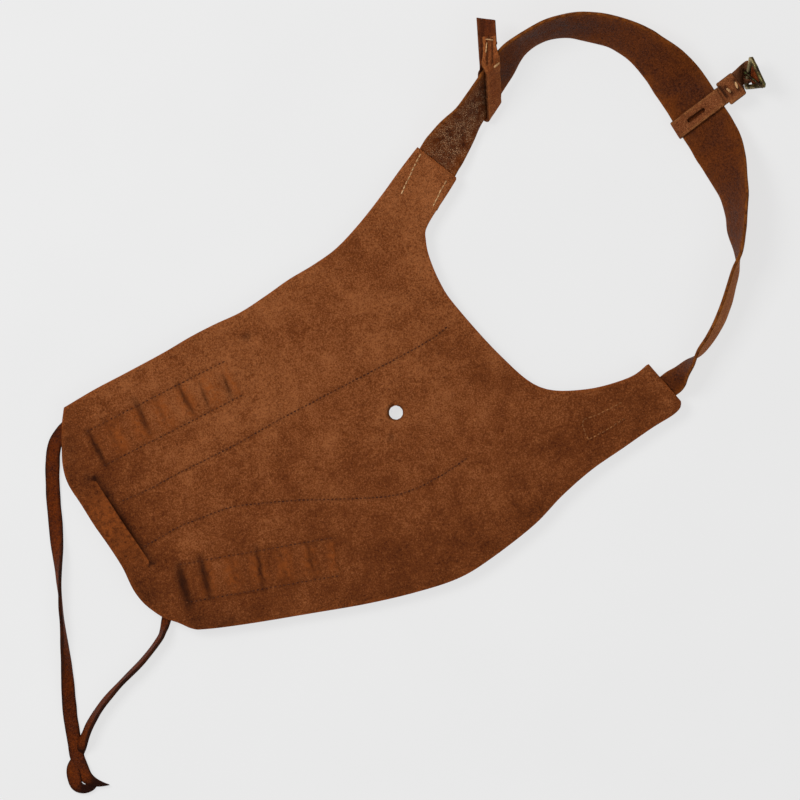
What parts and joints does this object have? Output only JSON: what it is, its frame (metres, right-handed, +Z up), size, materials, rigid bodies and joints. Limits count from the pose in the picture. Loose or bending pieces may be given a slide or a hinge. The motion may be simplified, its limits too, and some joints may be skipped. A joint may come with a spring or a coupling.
{
  "type": "leather welding apron",
  "caption": "Small one-shoulder leather work apron laid flat, with a tool pocket, two rows of loops, a wide shoulder strap and a brass buckle.",
  "frame": {"origin": "centre of the apron's footprint on the surface it lies on, thongs not counted", "axes": "+Y from the hem to the shoulder loop, +X from the wide tab's edge of the panel to the narrow tab's edge, +Z up out of the rough side"},
  "size_m": [0.3733, 0.5895, 0.0345],
  "materials": {
    "suede": "matte",
    "dark_leather": "satin",
    "band_leather": "matte",
    "thread": "matte",
    "brass": "aged"
  },
  "bodies": {
    "apron": {"main_panel": "suede", "tool_pocket": "suede", "upper_loop_strip": "suede", "lower_loop_strip": "suede", "shoulder_strap": "dark_leather", "upper_pocket_seam": "thread", "lower_pocket_seam": "thread", "upper_loop_stitching": "thread", "lower_loop_stitching": "thread", "wide_tab_stitching": "thread", "narrow_tab_stitching": "thread", "long_thong": "dark_leather", "short_thong": "dark_leather", "thong_knot": "dark_leather"},
    "keeper": {"slotted_band": "band_leather", "band_cover": "band_leather", "buckle_chape": "dark_leather", "band_stitches": "thread"},
    "buckle": {"buckle_frame": "brass"},
    "prong": {"buckle_prong": "brass"},
    "stub_loop": {"stub_band": "band_leather", "stub_stitches": "thread"}
  },
  "joints": [
    {"name": "keeper_slide", "type": "slide", "parent": "apron", "child": "keeper", "axis": [0.9848, 0.1736, 0], "range_m": [-0.005, 0.005]},
    {"name": "stub_slide", "type": "slide", "parent": "apron", "child": "stub_loop", "axis": [-0.5592, 0.829, 0], "range_m": [-0.004, 0.004]},
    {"name": "buckle_hinge", "type": "hinge", "parent": "keeper", "child": "buckle", "pos_m": [-0.0687, 0.2514, 0.0094], "axis": [0.7335, -0.4066, -0.5446], "range_deg": [-80, 10]},
    {"name": "prong_hinge", "type": "hinge", "parent": "buckle", "child": "prong", "pos_m": [-0.0687, 0.2514, 0.0094], "axis": [0.7335, -0.4066, -0.5446], "range_deg": [0, 24]}
  ]
}
